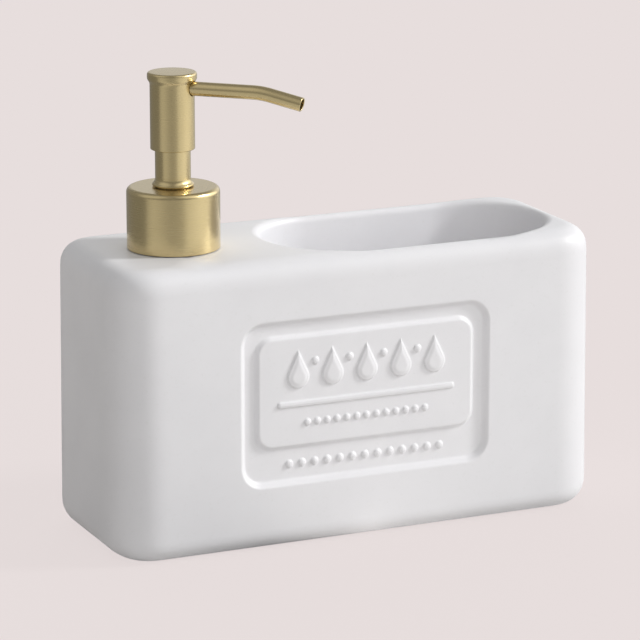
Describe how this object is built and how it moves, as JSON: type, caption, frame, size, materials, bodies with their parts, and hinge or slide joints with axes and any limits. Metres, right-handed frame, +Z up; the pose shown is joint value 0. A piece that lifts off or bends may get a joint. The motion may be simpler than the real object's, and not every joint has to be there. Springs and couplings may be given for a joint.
{
  "type": "soap dispenser",
  "caption": "Ceramic sink caddy with a liquid soap reservoir, an open sponge pocket and a screw-on metal-clad lotion pump with a swivelling spout.",
  "frame": {"origin": "middle of the flat base, on the surface the dispenser stands on", "axes": "+Z up; +X along the body from the pump to the pocket's side; -Y out of the labelled front"},
  "size_m": [0.19, 0.072, 0.1707],
  "materials": {
    "glazed_white": "satin white glaze",
    "satin_gold": "satin brushed pale gold",
    "white_plastic": "moulded polypropylene",
    "natural_plastic": "natural translucent polypropylene",
    "cream_plastic": "moulded polypropylene, tinted to suit the metal",
    "blue_grey_plastic": "moulded polyethylene",
    "soft_white": "foamed polyethylene",
    "clear_tube": "extruded polyethylene tube",
    "seal_rubber": "moulded nitrile rubber",
    "steel_ball": "polished stainless steel",
    "spring_steel": "drawn stainless wire"
  },
  "bodies": {
    "ceramic": {"ceramic_body": "glazed_white", "neck_seal": "seal_rubber", "neck_insert": "white_plastic"},
    "pump_unit": {"pump_housing": "natural_plastic", "housing_gasket": "soft_white", "dip_tube": "clear_tube", "inlet_ball": "steel_ball", "return_spring": "spring_steel", "chaplet": "white_plastic", "guide_sleeve": "satin_gold"},
    "closure": {"closure_cap": "cream_plastic", "collar_shell": "satin_gold"},
    "plunger": {"piston": "blue_grey_plastic"},
    "head": {"head_shell": "satin_gold", "head_core": "cream_plastic", "spout_tube": "satin_gold", "spout_seal": "seal_rubber", "upper_stem": "white_plastic", "lower_stem": "white_plastic", "outlet_ball": "steel_ball"}
  },
  "joints": [
    {"name": "pump_lift", "type": "slide", "parent": "ceramic", "child": "pump_unit", "axis": [0, 0, 1], "range_m": [0, 0.00529]},
    {"name": "closure_turn", "type": "hinge", "parent": "pump_unit", "child": "closure", "pos_m": [-0.06, 0, 0.1065], "axis": [0, 0, 1], "range_deg": [0, 450]},
    {"name": "head_press", "type": "slide", "parent": "pump_unit", "child": "plunger", "axis": [0, 0, -1], "range_m": [0, 0.0115], "stiffness_N_per_m": 500, "springref_m": -0.008, "deforming": ["return_spring"]},
    {"name": "head_swivel", "type": "hinge", "parent": "plunger", "child": "head", "pos_m": [-0.06, 0, 0.1426], "axis": [0, 0, 1], "continuous": true}
  ],
  "couplings": [
    {"joint": "closure_turn", "follows": "pump_lift", "rad_per_m": 1485.4}
  ]
}
